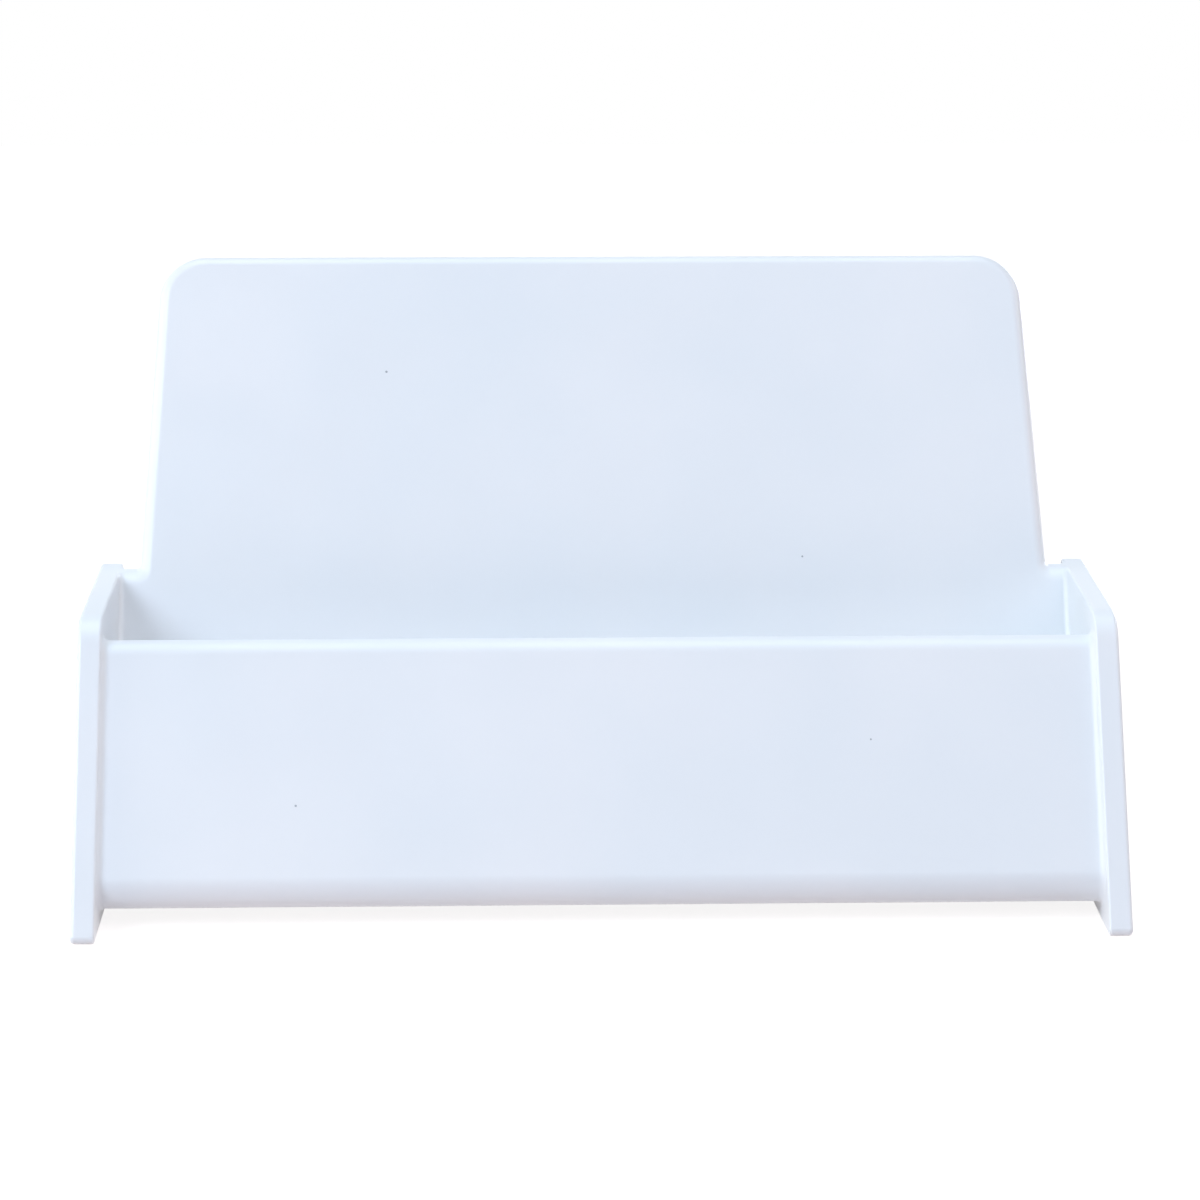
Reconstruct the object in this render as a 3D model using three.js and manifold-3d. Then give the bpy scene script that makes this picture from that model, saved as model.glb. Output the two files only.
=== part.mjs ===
// A desk holder for business cards: one white moulding, built wall by wall.
// Millimetres, +Z up. The front looks along -Y and the feet stand on Z = 0.
import * as THREE from "three";
import { mergeVertices } from "three/addons/utils/BufferGeometryUtils.js";
import Module from "manifold-3d";

const wasm = await Module();
wasm.setup();

// Whole holder
const overallWidth = 98.5;
const holderHeight = 55.5;
const lean = THREE.MathUtils.degToRad(30); // from upright, of both panels and the side walls' front edges

// Side walls
const sideWallThickness = 2.25;
const sideWallHeight = 27;
const shoulderRadius = 4; // at the top of the leaning front edge
const heelRadius = 0.7; // at the two rear corners
const rearOverhang = 1.5; // of the side walls, behind the rear edge of the ledges
const toeRadius = 0.6; // at the foot of the front edge
const edgeRadius = 0.5; // all round the outline, inside and outside

// Front panel, pocket and floor
const panelThickness = 2.5; // front panel and back panel
const frontSetback = 0.9; // front panel behind the side walls' front edges, square to both
const rimHeight = 24.7;
const rimFrontRadius = 1.9; // of the front panel's rim, towards the front
const rimRearRadius = 0.55; // and towards the pocket
const pocketDepth = 11.7; // square to the panels
const floorClearance = 1.7; // open height between the desk and the floor
const floorThickness = 2.2;
const bendRadius = 2.4; // outside, where the front panel turns under
const pocketFillet = 1; // inside, along both edges of the floor
const panelHeelRadius = 1; // outside, under the back panel

// Back panel above the side walls
const ledgeWidth = 1.95; // of the step on each side, at the height of the side walls
const sideTaper = THREE.MathUtils.degToRad(2.65); // of each side edge, seen square to the panel
const topCornerRadius = 4.5;
const rimFlat = 0.1; // left between the two rounds of this panel's rim
const rimSpare = 0.05; // the rim's round starts this much outside the panel's faces
const plateRoot = 5; // how far the narrow part reaches down into the wide one

const roundSteps = 6; // half the number of facets of a round corner
const edgeSteps = 3;
const rimSteps = 6;

const slope = Math.tan(lean);
const panelEnd = overallWidth / 2 - sideWallThickness; // inner faces of the side walls, at plus and minus this X
const floorTop = floorClearance + floorThickness;

// Distances behind the side walls' front edges, square to the panels
const frontPanelInside = frontSetback + panelThickness;
const backPanelFront = frontPanelInside + pocketDepth;
const backPanelRear = backPanelFront + panelThickness;

const plastic = { color: 0xe9eef6, roughness: 0.22, metalness: 0 };

// A point of the side view [y, z] at a height, a distance behind the leaning front edge
function leaning(distance, height) {
  return [height * slope + distance / Math.cos(lean), height];
}

// The same point moved square to the panels, towards the rear
function across([y, z], distance) {
  return [y + distance * Math.cos(lean), z - distance * Math.sin(lean)];
}

// A closed outline through corners [a, b, radius], each rounded by an arc of its radius
function roundedOutline(corners) {
  const shape = new THREE.Shape();
  const count = corners.length;
  corners.forEach(([a, b, radius = 0], i) => {
    const corner = new THREE.Vector2(a, b);
    const previous = new THREE.Vector2(...corners[(i + count - 1) % count].slice(0, 2));
    const next = new THREE.Vector2(...corners[(i + 1) % count].slice(0, 2));
    const back = previous.sub(corner).normalize();
    const on = next.sub(corner).normalize();
    const halfAngle = Math.acos(THREE.MathUtils.clamp(back.dot(on), -1, 1)) / 2;
    const reach = radius / Math.tan(halfAngle);
    const start = corner.clone().addScaledVector(back, reach);
    if (i === 0) shape.moveTo(start.x, start.y);
    else shape.lineTo(start.x, start.y);
    if (radius === 0) return;
    const inward = back.clone().add(on).normalize();
    const centre = corner.clone().addScaledVector(inward, radius / Math.sin(halfAngle));
    const end = corner.clone().addScaledVector(on, reach);
    const turnsRight = back.cross(on) > 0;
    shape.absarc(
      centre.x,
      centre.y,
      radius,
      start.sub(centre).angle(),
      end.sub(centre).angle(),
      turnsRight,
    );
  });
  shape.closePath();
  return shape;
}

// Side view (y, z) pushed along X, from a given X
function extrudeAlongX(shape, fromX, width, edges = {}) {
  const geometry = new THREE.ExtrudeGeometry(shape, {
    depth: width,
    curveSegments: roundSteps,
    bevelEnabled: false,
    ...edges,
  });
  const sideView = new THREE.Matrix4().makeBasis(
    new THREE.Vector3(0, 1, 0),
    new THREE.Vector3(0, 0, 1),
    new THREE.Vector3(1, 0, 0),
  );
  return geometry.applyMatrix4(sideView.setPosition(fromX, 0, 0));
}

function box(low, high) {
  const size = high.map((value, i) => value - low[i]);
  const middle = high.map((value, i) => (value + low[i]) / 2);
  return new THREE.BoxGeometry(...size).translate(...middle);
}

function toSolid(geometry) {
  const bare = geometry.clone();
  bare.deleteAttribute("normal");
  bare.deleteAttribute("uv");
  const merged = mergeVertices(bare, 1e-4);
  return new wasm.Manifold(
    new wasm.Mesh({
      numProp: 3,
      vertProperties: merged.attributes.position.array,
      triVerts: new Uint32Array(merged.index.array),
    }),
  );
}

function toGeometry(solid) {
  const { vertProperties, triVerts } = solid.getMesh();
  const geometry = new THREE.BufferGeometry();
  geometry.setAttribute("position", new THREE.BufferAttribute(vertProperties, 3));
  geometry.setIndex(new THREE.BufferAttribute(triVerts, 1));
  geometry.computeVertexNormals();
  return geometry;
}

// The rear face of the back panel meets the top edge of the side wall just before its end
const sideWallLength = leaning(backPanelRear, sideWallHeight)[0] + rearOverhang;

function sideWall(fromX) {
  const outline = roundedOutline([
    [0, 0, toeRadius],
    [sideWallLength, 0, heelRadius],
    [sideWallLength, sideWallHeight, heelRadius],
    [...leaning(0, sideWallHeight), shoulderRadius],
  ]);
  return extrudeAlongX(outline, fromX + edgeRadius, sideWallThickness - 2 * edgeRadius, {
    bevelEnabled: true,
    bevelThickness: edgeRadius,
    bevelSize: edgeRadius,
    bevelOffset: -edgeRadius,
    bevelSegments: edgeSteps,
  });
}

// The front panel and the back panel each keep their fillet, so the floor between them is a plain strip
const pocketFront = leaning(frontPanelInside, floorTop);
const pocketRear = leaning(backPanelFront, floorTop);
const sharpHalfAngle = (Math.PI / 2 - lean) / 2; // of the pocket's front corner, and of the bend
const wideHalfAngle = (Math.PI / 2 + lean) / 2; // of the pocket's rear corner
const bendFoot = leaning(frontSetback, floorClearance);
const floorStart = Math.max(
  pocketFront[0] + pocketFillet / Math.tan(sharpHalfAngle),
  bendFoot[0] + bendRadius / Math.tan(sharpHalfAngle),
);
const floorEnd = pocketRear[0] - pocketFillet / Math.tan(wideHalfAngle);

function frontPanel() {
  const cornerAboveRim = rimFrontRadius * (Math.cos(lean) + Math.sin(lean) - 1);
  const rim = leaning(frontSetback, rimHeight + cornerAboveRim);
  const outline = roundedOutline([
    [floorStart, floorClearance],
    [floorStart, floorTop],
    [...pocketFront, pocketFillet],
    [...across(rim, panelThickness), rimRearRadius],
    [...rim, rimFrontRadius],
    [...bendFoot, bendRadius],
  ]);
  return extrudeAlongX(outline, -panelEnd, 2 * panelEnd);
}

function pocketFloor() {
  return box([-panelEnd, floorStart, floorClearance], [panelEnd, floorEnd, floorTop]);
}

function backPanel() {
  const overTop = holderHeight + topCornerRadius;
  const slab = roundedOutline([
    [floorEnd, floorClearance],
    [...leaning(backPanelRear, floorClearance), panelHeelRadius],
    leaning(backPanelRear, overTop),
    leaning(backPanelFront, overTop),
    [...pocketRear, pocketFillet],
    [floorEnd, floorTop],
  ]);
  const wide = toSolid(extrudeAlongX(slab, -panelEnd, 2 * panelEnd));
  const belowLedges = toSolid(
    box([-overallWidth, -holderHeight, -holderHeight], [overallWidth, 2 * holderHeight, sideWallHeight]),
  );
  return toGeometry(wide.intersect(belowLedges.add(toSolid(narrowPlate()))));
}

// The back panel above the ledges, with a round rim. Its outline lies in the panel's own plane: X, and the
// distance up the lean from Z = 0
function narrowPlate() {
  const rimRadius = (panelThickness - rimFlat) / 2;
  const rim = rimRadius + rimSpare;
  const ledge = sideWallHeight / Math.cos(lean);
  const root = ledge - plateRoot;
  const top = (holderHeight - rim + rimRadius * Math.sin(lean)) / Math.cos(lean) + rim;
  const halfWidth = (up) => panelEnd - ledgeWidth - (up - ledge) * Math.tan(sideTaper);
  const outline = roundedOutline([
    [-halfWidth(root), root, 2 * rim],
    [halfWidth(root), root, 2 * rim],
    [halfWidth(top), top, topCornerRadius],
    [-halfWidth(top), top, topCornerRadius],
  ]);
  const plate = new THREE.ExtrudeGeometry(outline, {
    depth: rimFlat,
    curveSegments: roundSteps,
    bevelThickness: rim,
    bevelSize: rim,
    bevelOffset: -rim,
    bevelSegments: rimSteps,
  });
  const frontAtDesk = leaning(backPanelFront, 0);
  const upTheLean = new THREE.Vector3(0, Math.sin(lean), Math.cos(lean));
  const outOfTheFront = new THREE.Vector3(0, -Math.cos(lean), Math.sin(lean));
  const place = new THREE.Matrix4().makeBasis(new THREE.Vector3(1, 0, 0), upTheLean, outOfTheFront);
  place.setPosition(0, ...frontAtDesk);
  return plate.translate(0, 0, -(panelThickness + rimFlat) / 2).applyMatrix4(place);
}

function piece(name, geometry) {
  const mesh = new THREE.Mesh(geometry, new THREE.MeshStandardMaterial(plastic));
  mesh.name = name;
  return mesh;
}

const holder = new THREE.Group();
holder.name = "business_card_holder";
holder.add(
  piece("left_side_wall", sideWall(-overallWidth / 2)),
  piece("right_side_wall", sideWall(panelEnd)),
  piece("front_panel", frontPanel()),
  piece("pocket_floor", pocketFloor()),
  piece("back_panel", backPanel()),
);

// The origin lies under the middle of the space that the holder takes up
const space = new THREE.Box3().setFromObject(holder);
holder.position.y = -(space.min.y + space.max.y) / 2;

export default holder;
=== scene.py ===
import math

import bmesh
import bpy
from mathutils import Matrix, Vector


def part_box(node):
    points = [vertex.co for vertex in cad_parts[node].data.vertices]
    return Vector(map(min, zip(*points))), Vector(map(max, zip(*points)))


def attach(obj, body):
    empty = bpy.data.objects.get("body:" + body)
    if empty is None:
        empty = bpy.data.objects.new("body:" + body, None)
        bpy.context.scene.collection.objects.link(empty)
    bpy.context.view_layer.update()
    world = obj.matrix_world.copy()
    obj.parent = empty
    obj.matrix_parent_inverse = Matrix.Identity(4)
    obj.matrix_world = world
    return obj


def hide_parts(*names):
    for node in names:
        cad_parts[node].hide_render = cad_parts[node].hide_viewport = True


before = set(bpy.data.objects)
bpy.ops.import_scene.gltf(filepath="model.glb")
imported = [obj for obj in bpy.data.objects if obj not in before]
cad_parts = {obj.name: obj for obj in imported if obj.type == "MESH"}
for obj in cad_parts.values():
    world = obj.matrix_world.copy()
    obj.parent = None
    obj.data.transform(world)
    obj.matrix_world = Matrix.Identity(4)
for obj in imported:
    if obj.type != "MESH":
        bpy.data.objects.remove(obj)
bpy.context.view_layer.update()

mm = 0.001
scene = bpy.context.scene

# Sizes in millimetres. The frame's boxes give most of them, the rest stands here
wallBox = [Vector(corner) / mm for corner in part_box("right_side_wall")]
frontBox = [Vector(corner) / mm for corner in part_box("front_panel")]
floorBox = [Vector(corner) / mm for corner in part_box("pocket_floor")]
backBox = [Vector(corner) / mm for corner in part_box("back_panel")]

panels = {
    "lean": math.radians(30),     # from upright, of both panels and the side walls' front edges
    "thickness": 2.5,
    "setback": 0.9,               # front panel behind the side walls' front edges
    "pocketDepth": 11.7,
    "overhang": 1.5,              # of the side walls, behind the ledge's rear edge
    "ledge": 1.95,                # width of the step on each side
    "taper": math.radians(2.65),  # of the back panel's side edges above the step
}

panelEnd, outerEnd = wallBox[0].x, wallBox[1].x    # inner and outer face of the right side wall
wallTop, rearEnd = wallBox[1].z, wallBox[1].y
floorBottom, floorTop = floorBox[0].z, floorBox[1].z
lean = panels["lean"]
frontInside = panels["setback"] + panels["thickness"]
backFront = frontInside + panels["pocketDepth"]
backRear = backFront + panels["thickness"]
footLine = rearEnd - panels["overhang"] - wallTop * math.tan(lean) - backRear / math.cos(lean)
print("sizes: foot line at y", round(footLine, 3), "mm")


# Camera, at the height and distance of someone who looks at the holder across a desk

cameraView = {
    "place": (-9.19, footLine - 318.9, 118.75),
    "lens": 110.04,
    "sensor": 36,                 # mm, its width, as are the place and the lens
    "nearest": 10,                # mm, what is closer isn't drawn
    "right": math.radians(1.58),
    "down": math.radians(15.067),
    "roll": math.radians(0.086),
}


def makeCamera():
    camera = bpy.data.objects.new("camera", bpy.data.cameras.new("camera"))
    scene.collection.objects.link(camera)
    scene.camera = camera
    camera.data.sensor_width = cameraView["sensor"]
    camera.data.lens = cameraView["lens"]
    camera.data.clip_start = cameraView["nearest"] * mm
    turn = Matrix.Rotation(-cameraView["right"], 4, "Z")
    tip = Matrix.Rotation(math.pi / 2 - cameraView["down"], 4, "X")
    roll = Matrix.Rotation(cameraView["roll"], 4, "Z")
    camera.matrix_world = Matrix.Translation(Vector(cameraView["place"]) * mm) @ turn @ tip @ roll


makeCamera()
print("camera: made")


# The moulding is first made whole, so that its fillets run on from wall to wall. Then it is cut into its
# pieces. Radii are in mm

rounds = {
    "bend": 2.4,          # outside, where the front panel turns under
    "rimFront": 1.9,      # front panel's rim, towards the front
    "rimRear": 0.55,      # and towards the pocket
    "pocket": 1.0,        # inside, along both edges of the floor
    "heel": 1.0,          # outside, under the back panel
    "toe": 0.6,           # foot of the side wall's front edge
    "rearCorner": 0.7,    # side wall's two rear corners
    "shoulder": 4.0,      # top of the side wall's front edge
    "plateCorner": 4.5,   # two top corners of the back panel
    "step": 0.45,         # inside, where its side edges rise from the step
    "plateFront": 1.25,   # edges of the back panel from the step upwards, towards the front
    "plateRear": 1.2,     # and towards the rear
    "fillet": 0.6,        # where a panel or the floor runs into a side wall
    "wallInside": 0.25,   # inner edges of the side walls
    "edge": 0.44,         # every other edge
    "cornerSteps": 12,    # facets of a round corner in an outline
    "edgeSteps": 8,       # and across a rounded edge or a fillet
    "sharp": math.radians(25),  # an edge that turns more than this still needs its rounding
    "flat": math.radians(0.3),  # faces that turn less than this against each other are made one
}
near = 0.0001             # mm, closer than this counts as the same place


def leaning(distance, height):  # side view point (y, z) behind the leaning front edge, square to it
    return Vector((footLine + height * math.tan(lean) + distance / math.cos(lean), height))


def across(point, distance):    # the same point moved through a panel, towards the rear
    return point + distance * Vector((math.cos(lean), -math.sin(lean)))


def aboveCorner(radius):        # height of a leaning panel's sharp corner above its rounded rim
    return radius * (math.cos(lean) + math.sin(lean) - 1)


def roundCorner(bm, vert, radius):
    corner = vert.co.copy()
    ways = [(edge.other_vert(vert).co - corner).normalized() for edge in vert.link_edges]
    half = ways[0].angle(ways[1]) / 2
    centre = corner + (ways[0] + ways[1]).normalized() * radius / math.sin(half)
    made = bmesh.ops.bevel(bm, geom=[vert], offset=radius / math.tan(half), offset_type="OFFSET",
                           segments=rounds["cornerSteps"], profile=0.5, affect="VERTICES", material=-1,
                           clamp_overlap=False)
    for v in made["verts"]:  # the operator's own curve is only round in a square corner
        v.co = centre + (v.co - centre).normalized() * radius


def roundEdges(bm, edges, radius, segments):
    bmesh.ops.bevel(bm, geom=edges, offset=radius, offset_type="OFFSET", segments=segments, profile=0.5,
                    affect="EDGES", material=-1, clamp_overlap=False, loop_slide=True)


def roundByWeight(bm):  # edges of different radii meet in corners, so all of them are rounded together
    largest = max(rounds["plateFront"], rounds["plateRear"], rounds["fillet"])
    layer = bm.edges.layers.float.new("bevel_weight_edge")
    for edge in sharpEdges(bm):
        edge[layer] = edgeRadius(edge) / largest
    mesh = bpy.data.meshes.new("cage")
    bm.to_mesh(mesh)
    cage = bpy.data.objects.new("cage", mesh)
    scene.collection.objects.link(cage)
    bevel = cage.modifiers.new("edges", "BEVEL")
    bevel.limit_method = "WEIGHT"
    bevel.offset_type = "OFFSET"
    bevel.width = largest
    bevel.segments = rounds["edgeSteps"]
    bevel.use_clamp_overlap = False
    bevel.miter_outer = "MITER_PATCH"
    rounded = cage.evaluated_get(bpy.context.evaluated_depsgraph_get()).to_mesh()
    bm.clear()
    bm.from_mesh(rounded)
    bm.edges.layers.float.remove(bm.edges.layers.float["bevel_weight_edge"])
    bpy.data.objects.remove(cage)
    bpy.data.meshes.remove(mesh)


def extrudeFaces(bm, faces, move):
    edges = {edge for face in faces for edge in face.edges}
    made = bmesh.ops.extrude_face_region(bm, geom=[*faces, *edges])["geom"]
    bmesh.ops.translate(bm, verts=[v for v in made if isinstance(v, bmesh.types.BMVert)], vec=move)
    return [f for f in made if isinstance(f, bmesh.types.BMFace)]


def sharpEdges(bm):
    return [e for e in bm.edges if e.calc_face_angle(0) > rounds["sharp"]]


def edgeRadius(edge):
    middle = (edge.verts[0].co + edge.verts[1].co) / 2
    behind = (middle.y - leaning(0, middle.z).x) * math.cos(lean)
    if middle.z > wallTop - near and abs(middle.x) < panelEnd:
        if abs(behind - backFront) < near:
            return rounds["plateFront"]
        if abs(behind - backRear) < near:
            return rounds["plateRear"]
    if edge.calc_face_angle_signed() < 0:
        return rounds["fillet"]
    if abs(abs(middle.x) - panelEnd) < near:
        return rounds["wallInside"]
    return rounds["edge"]


def sideSection(bm):  # the side view as two faces: what the panels cover of the side wall, and its rest
    rim = leaning(panels["setback"], frontBox[1].z + aboveCorner(rounds["rimFront"]))
    corners = {
        "bend": (leaning(panels["setback"], floorBottom), rounds["bend"]),
        "rimFront": (rim, rounds["rimFront"]),
        "rimRear": (across(rim, panels["thickness"]), rounds["rimRear"]),
        "pocketFront": (leaning(frontInside, floorTop), rounds["pocket"]),
        "pocketRear": (leaning(backFront, floorTop), rounds["pocket"]),
        "ledgeFront": (leaning(backFront, wallTop), 0),
        "ledgeRear": (leaning(backRear, wallTop), 0),
        "heel": (leaning(backRear, floorBottom), rounds["heel"]),
        "toe": (Vector((footLine, 0)), rounds["toe"]),
        "rearFoot": (Vector((rearEnd, 0)), rounds["rearCorner"]),
        "rearTop": (Vector((rearEnd, wallTop)), rounds["rearCorner"]),
        "shoulder": (leaning(0, wallTop), rounds["shoulder"]),
    }
    verts = {name: bm.verts.new((panelEnd, *point)) for name, (point, radius) in corners.items()}
    frontToLedge = ["bend", "rimFront", "rimRear", "pocketFront", "pocketRear", "ledgeFront"]
    ledgeToHeel = ["ledgeRear", "heel"]
    wallCorners = ["rearTop", "rearFoot", "toe"]
    covered = [*frontToLedge, *ledgeToHeel]
    rest = ["shoulder", *reversed(frontToLedge), *reversed(ledgeToHeel), *wallCorners]
    bm.faces.new([verts[name] for name in covered])
    bm.faces.new([verts[name] for name in rest])
    for name, (point, radius) in corners.items():
        if radius:
            roundCorner(bm, verts[name], radius)
    wallFace, sectionFace = sorted(bm.faces, key=lambda face: min(v.co.z for v in face.verts))
    return sectionFace, wallFace


def raisePlate(bm):  # the back panel above the level of the side walls, up to its still sharp top edge
    root = [f for f in bm.faces if all(abs(v.co.z - wallTop) < near for v in f.verts)
            and f.calc_center_median().x < panelEnd - panels["ledge"]]
    plate = extrudeFaces(bm, root, Vector((0, 0, backBox[1].z - wallTop)))[0]
    topFront = leaning(backFront, backBox[1].z + aboveCorner(rounds["plateFront"]))
    topRear = across(topFront, panels["thickness"])
    rise = topFront.y - wallTop  # a side view point's second number is its height
    inward = rise / math.cos(lean) * math.tan(panels["taper"])
    middle = plate.calc_center_median().y
    for v in plate.verts:
        v.co.yz = topFront if v.co.y < middle else topRear
        if v.co.x > near:
            v.co.x -= inward


def makeMoulding():
    bm = bmesh.new()
    sectionFace, wallFace = sideSection(bm)
    extrudeFaces(bm, [sectionFace, wallFace], Vector((outerEnd - panelEnd, 0, 0)))
    toLedge = extrudeFaces(bm, [sectionFace], Vector((-panels["ledge"], 0, 0)))
    extrudeFaces(bm, toLedge, Vector((panels["ledge"] - panelEnd, 0, 0)))
    raisePlate(bm)
    halfway = [face for face in bm.faces if all(abs(v.co.x) < near for v in face.verts)]
    bmesh.ops.delete(bm, geom=halfway, context="FACES")
    bmesh.ops.mirror(bm, geom=bm.verts[:] + bm.edges[:] + bm.faces[:], axis="X", merge_dist=near)
    bmesh.ops.remove_doubles(bm, verts=bm.verts, dist=near)
    bmesh.ops.recalc_face_normals(bm, faces=bm.faces)
    bmesh.ops.dissolve_limit(bm, angle_limit=rounds["flat"], verts=bm.verts, edges=bm.edges)
    print("moulding: whole,", len(bm.faces), "faces before its edges are rounded")

    throughPlate = [e for e in sharpEdges(bm) if abs(e.verts[0].co.x - e.verts[1].co.x) < near
                    and min(v.co.z for v in e.verts) > wallTop - near
                    and abs(e.verts[0].co.x) < panelEnd - near]
    corners = [e for e in throughPlate if e.verts[0].co.z > wallTop + near]
    roots = [e for e in throughPlate if e not in corners]
    roundEdges(bm, roots, rounds["step"], rounds["edgeSteps"])
    roundEdges(bm, corners, rounds["plateCorner"], rounds["cornerSteps"])
    roundByWeight(bm)
    openEdges = [e for e in bm.edges if not e.is_manifold]
    print("moulding: rounded,", len(bm.faces), "faces,", len(openEdges), "open edges")
    return bm


def keepNormals(bm):  # weighed by area, so that the flat walls stay flat between their rounded edges
    layer = bm.verts.layers.float_vector.new("smoothNormal")
    for v in bm.verts:
        v[layer] = sum((f.normal * f.calc_area() for f in v.link_faces), Vector()).normalized()


def cutAcross(bm, faces, place, direction):
    parts = {part for f in faces for part in (f, *f.edges, *f.verts)}
    bmesh.ops.bisect_plane(bm, geom=list(parts), dist=near, plane_co=place, plane_no=direction)


def takePart(bm, wanted):  # a copy of the wanted faces, closed by flat faces where it was cut off
    part = bm.copy()
    bmesh.ops.delete(part, geom=[f for f in part.faces if not wanted(f)], context="FACES")
    cutEdges = [e for e in part.edges if e.is_boundary]
    caps = bmesh.ops.holes_fill(part, edges=cutEdges, sides=0)["faces"]
    for face in caps:
        face.smooth = False
    return part


def cutMoulding(bm):
    for side in (-1, 1):
        end = side * panelEnd
        crossing = [f for f in bm.faces if min(v.co.x for v in f.verts) < end - near
                    and max(v.co.x for v in f.verts) > end + near]
        cutAcross(bm, crossing, (end, 0, 0), (1, 0, 0))

    def isWall(face):
        return abs(face.calc_center_median().x) > panelEnd - near

    def isFloor(face):
        centre = face.calc_center_median()
        isLow = centre.z < floorTop + 2 * rounds["fillet"]
        return isLow and floorBox[0].y < centre.y < floorBox[1].y

    def isFront(face):
        centre = face.calc_center_median()
        return centre.y < leaning((frontInside + backFront) / 2, centre.z).x

    trough = takePart(bm, lambda face: not isWall(face))
    for cut in (floorBox[0].y, floorBox[1].y):
        strip = [f for f in trough.faces if min(v.co.z for v in f.verts) < floorTop + rounds["fillet"]
                 and min(v.co.y for v in f.verts) < cut - near
                 and max(v.co.y for v in f.verts) > cut + near]
        cutAcross(trough, strip, (0, cut, 0), (0, 1, 0))
    return {
        "left_side_wall": takePart(bm, lambda face: isWall(face) and face.calc_center_median().x < 0),
        "right_side_wall": takePart(bm, lambda face: isWall(face) and face.calc_center_median().x > 0),
        "pocket_floor": takePart(trough, isFloor),
        "front_panel": takePart(trough, lambda face: not isFloor(face) and isFront(face)),
        "back_panel": takePart(trough, lambda face: not isFloor(face) and not isFront(face)),
    }


def linear(code):  # sRGB hex to the linear colour that the nodes take
    channels = [int(code[i:i + 2], 16) / 255 for i in (1, 3, 5)]
    return [c / 12.92 if c <= 0.04045 else ((c + 0.055) / 1.055) ** 2.4 for c in channels]


def addNode(tree, kind, settings=None, links=None):  # links: input name or number to an output socket
    node = tree.nodes.new(kind)
    for name, value in (settings or {}).items():
        if isinstance(name, str) and hasattr(node, name):
            setattr(node, name, value)
        else:
            node.inputs[name].default_value = value
    for name, socket in (links or {}).items():
        tree.links.new(socket, node.inputs[name])
    return node


plastic = {
    "colour": "#F4F6F9",
    "flowColour": "#EFF3F7",
    "flowLength": 24,     # mm, of the clouds that the melt leaves as it flows into the mould
    "flowDetail": 2,
    "speckColour": "#ABB0B7",
    "speckSpacing": 8,    # mm, between specks of dust caught all through the plastic
    "speckRadius": 0.12,  # mm
    "polished": 0.33,     # roughness as moulded
    "handled": 0.42,      # and where cards and fingers have dulled it
    "hazeLength": 9,      # mm, of the dulled patches
    "hazeDetail": 3,
    "waveLength": 2.2,    # mm, of the faint waves that the mould's polish and the shrinking plastic leave
    "waveDetail": 1.5,
    "waveDepth": 0.004,   # mm
    "noiseRange": (0.35, 0.65),  # part of the noise that each pattern is stretched from
    "ior": 1.59,
}


# Styrene plastic from a polished mould: a cool opaque white, with a soft gloss that draws a light line
# along every rounding. Clouds, haze, specks and waves are all faint, as on a new holder
def mouldedStyrene():
    material = bpy.data.materials.new("mouldedStyreneGlossWhite")
    material.use_nodes = True
    tree = material.node_tree
    tree.nodes.clear()
    place = addNode(tree, "ShaderNodeTexCoord").outputs["Object"]

    def cloud(length, detail, low=0, high=1):
        noise = addNode(tree, "ShaderNodeTexNoise", {"Scale": 1 / (length * mm), "Detail": detail},
                        {"Vector": place})
        fromLow, fromHigh = plastic["noiseRange"]
        limits = {"From Min": fromLow, "From Max": fromHigh, "To Min": low, "To Max": high}
        stretched = addNode(tree, "ShaderNodeMapRange", limits, {"Value": noise.outputs["Fac"]})
        return stretched.outputs["Result"]

    white = addNode(tree, "ShaderNodeMix", {"data_type": "RGBA", 6: (*linear(plastic["colour"]), 1),
                                            7: (*linear(plastic["flowColour"]), 1)},
                    {0: cloud(plastic["flowLength"], plastic["flowDetail"])}).outputs[2]
    cells = addNode(tree, "ShaderNodeTexVoronoi", {"Scale": 1 / (plastic["speckSpacing"] * mm)},
                    {"Vector": place})
    speck = addNode(tree, "ShaderNodeMath",
                    {"operation": "LESS_THAN", 1: plastic["speckRadius"] / plastic["speckSpacing"]},
                    {0: cells.outputs["Distance"]}).outputs[0]
    colour = addNode(tree, "ShaderNodeMix", {"data_type": "RGBA", 7: (*linear(plastic["speckColour"]), 1)},
                     {0: speck, 6: white}).outputs[2]
    haze = cloud(plastic["hazeLength"], plastic["hazeDetail"], plastic["polished"], plastic["handled"])
    bump = addNode(tree, "ShaderNodeBump", {"Strength": 1, "Distance": plastic["waveDepth"] * mm},
                   {"Height": cloud(plastic["waveLength"], plastic["waveDetail"])})
    shader = addNode(tree, "ShaderNodeBsdfPrincipled", {"IOR": plastic["ior"]},
                     {"Base Color": colour, "Roughness": haze, "Normal": bump.outputs["Normal"]})
    addNode(tree, "ShaderNodeOutputMaterial", links={"Surface": shader.outputs["BSDF"]})
    return material


def makePiece(name, part, node, material):
    mesh = bpy.data.meshes.new(name)
    bmesh.ops.transform(part, matrix=Matrix.Scale(mm, 4), verts=part.verts)
    part.to_mesh(mesh)
    part.free()
    mesh.materials.append(material)
    normals = mesh.attributes["smoothNormal"].data
    wanted = [Vector()] * len(mesh.loops)
    for face in mesh.polygons:
        if face.use_smooth:
            for i in face.loop_indices:
                wanted[i] = normals[mesh.loops[i].vertex_index].vector.normalized()
    mesh.attributes.remove(mesh.attributes["smoothNormal"])
    mesh.normals_split_custom_set(wanted)
    piece = bpy.data.objects.new(name, mesh)
    scene.collection.objects.link(piece)
    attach(piece, "root")
    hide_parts(node)
    return piece


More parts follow.
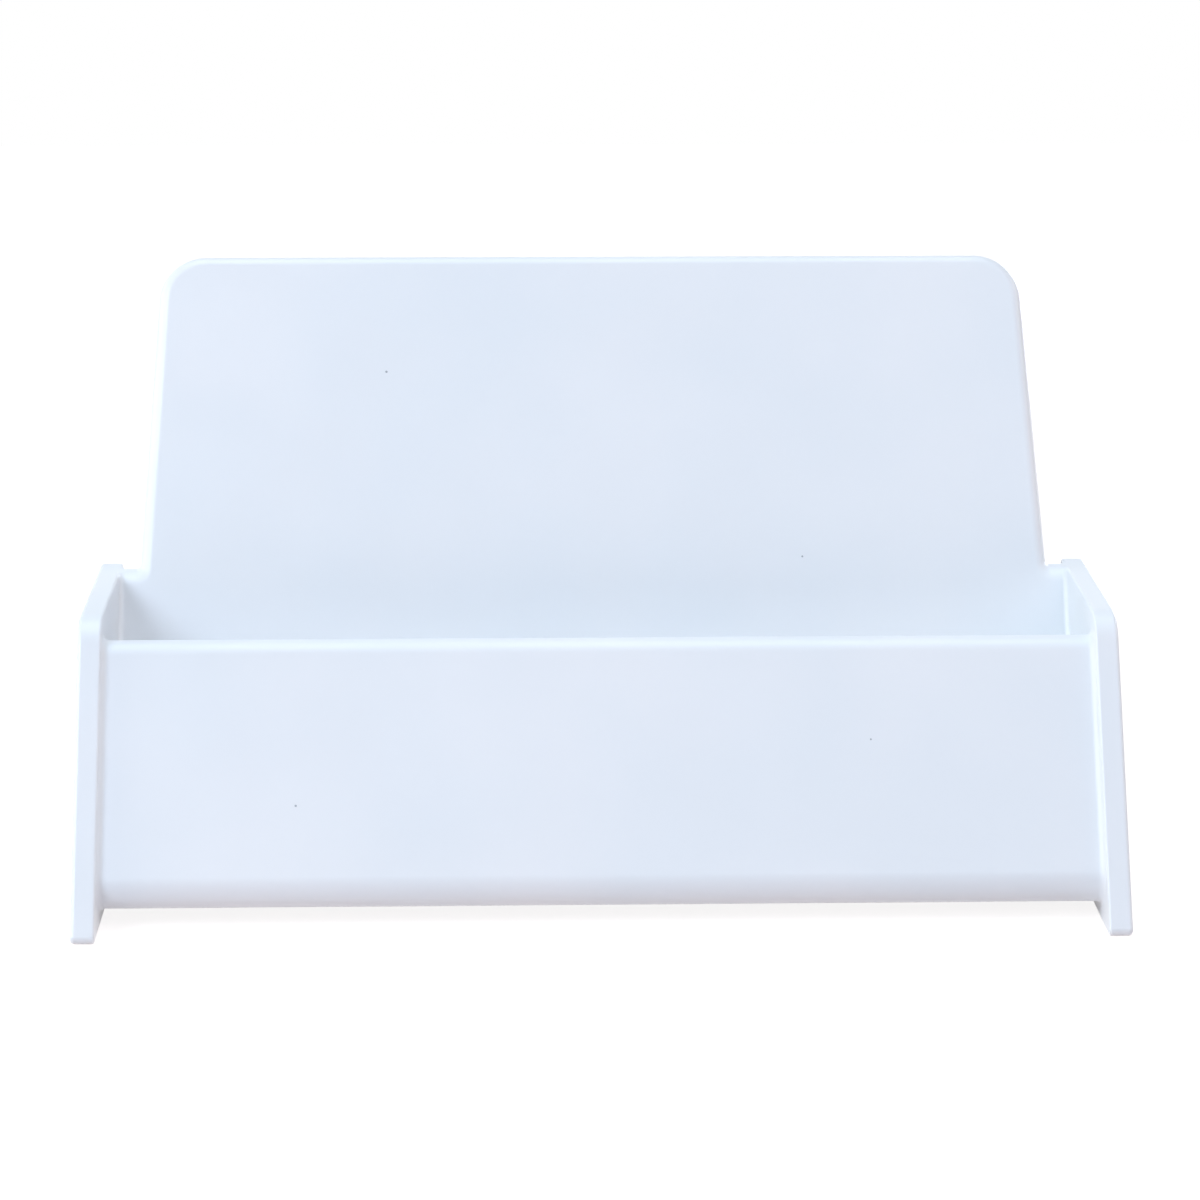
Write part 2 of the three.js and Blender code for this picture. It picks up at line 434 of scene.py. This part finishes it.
def makeHolder():
    moulding = makeMoulding()
    for face in moulding.faces:
        face.smooth = True
    keepNormals(moulding)
    material = mouldedStyrene()
    names = {
        "left_side_wall": "leftSideWall",
        "right_side_wall": "rightSideWall",
        "pocket_floor": "pocketFloor",
        "front_panel": "frontPanel",
        "back_panel": "backPanel",
    }
    for node, part in cutMoulding(moulding).items():
        makePiece(names[node], part, node, material)
    print("holder: five pieces of one moulding")


makeHolder()


# Floor and light. Levels are what a lamp adds to a white surface that faces it squarely

studio = {
    "surroundings": ("#D4CCFF", 0.1),
    "lamps": {  # direction from the holder, distance and size in metres, colour, level
        "windowLeft": ((-1.07, -0.9, 1.0), 0.8, 0.36, "#E0EFFF", 0.5),
        "ceiling": ((0.0, 0.1, 1.0), 1.8, 1.2, "#DFF6FF", 0.36),
        "wallLeft": ((-1.0, 0.0, 0.25), 1.2, 0.8, "#FFFDEE", 0.39),
        "frontRight": ((0.6, -0.8, 1.0), 1.5, 0.7, "#F2F7FF", 0.19),
        "wallRight": ((1.0, 0.0, 0.6), 1.5, 0.8, "#FFF2E8", 0.22),
        "roomBehind": ((0.7, 1.0, 0.15), 1.5, 0.6, "#F1F6FF", 0.36),
    },
    "floorReach": 0.5,   # metres, as far as the lamps keep it white. The surroundings go on from there
    "floorGap": 0.02,    # mm, so that it is just clear of the feet
    "floorColour": "#F2E4DF",
    "floorWhite": 0.6,   # share of plain white in what is seen of the floor
    "floorGlow": 1.42,   # how bright that white is
}


def seenDirectly(tree):  # 1 for what the camera, a mirror or a clear material shows, 0 for light on things
    path = addNode(tree, "ShaderNodeLightPath")
    either = addNode(tree, "ShaderNodeMath", {"operation": "ADD", "use_clamp": True},
                     {0: path.outputs["Is Camera Ray"], 1: path.outputs["Is Glossy Ray"]})
    return addNode(tree, "ShaderNodeMath", {"operation": "ADD", "use_clamp": True},
                   {0: either.outputs[0], 1: path.outputs["Is Transmission Ray"]}).outputs[0]


def makeSurroundings():
    world = bpy.data.worlds.new("surroundings")
    scene.world = world
    world.use_nodes = True
    tree = world.node_tree
    tree.nodes.clear()
    colour, level = studio["surroundings"]
    lit = addNode(tree, "ShaderNodeBackground", {"Color": (*linear(colour), 1), "Strength": level})
    seen = addNode(tree, "ShaderNodeBackground", {"Color": (1, 1, 1, 1), "Strength": 1})
    mixed = addNode(tree, "ShaderNodeMixShader",
                    links={0: seenDirectly(tree), 1: lit.outputs[0], 2: seen.outputs[0]})
    addNode(tree, "ShaderNodeOutputWorld", links={"Surface": mixed.outputs[0]})


def makeFloor():
    bm = bmesh.new()
    bmesh.ops.create_grid(bm, x_segments=1, y_segments=1, size=studio["floorReach"])
    mesh = bpy.data.meshes.new("floor")
    bm.to_mesh(mesh)
    floor = bpy.data.objects.new("floor", mesh)
    floor.location.z = -studio["floorGap"] * mm
    scene.collection.objects.link(floor)
    material = bpy.data.materials.new("paleStudioFloor")
    material.use_nodes = True
    tree = material.node_tree
    tree.nodes.clear()
    matt = addNode(tree, "ShaderNodeBsdfDiffuse", {"Color": (*linear(studio["floorColour"]), 1)})
    glow = addNode(tree, "ShaderNodeEmission", {"Color": (1, 1, 1, 1), "Strength": studio["floorGlow"]})
    share = addNode(tree, "ShaderNodeMath", {"operation": "MULTIPLY", 1: studio["floorWhite"]},
                    {0: seenDirectly(tree)})
    mixed = addNode(tree, "ShaderNodeMixShader",
                    links={0: share.outputs[0], 1: matt.outputs[0], 2: glow.outputs[0]})
    addNode(tree, "ShaderNodeOutputMaterial", links={"Surface": mixed.outputs[0]})
    mesh.materials.append(material)


def makeLamps():
    target = Vector((0, 0, backBox[1].z / 2 * mm))
    for name, (direction, distance, size, colour, level) in studio["lamps"].items():
        lamp = bpy.data.objects.new(name, bpy.data.lights.new(name, "AREA"))
        lamp.data.size = size
        lamp.data.energy = level * (math.pi * distance) ** 2
        lamp.data.color = linear(colour)
        way = Vector(direction).normalized()
        lamp.location = target + way * distance
        lamp.rotation_euler = way.to_track_quat("Z", "Y").to_euler()
        scene.collection.objects.link(lamp)


makeSurroundings()
makeFloor()
makeLamps()
scene.view_settings.view_transform = "Standard"
print("studio: floor, surroundings and", len(studio["lamps"]), "lamps")
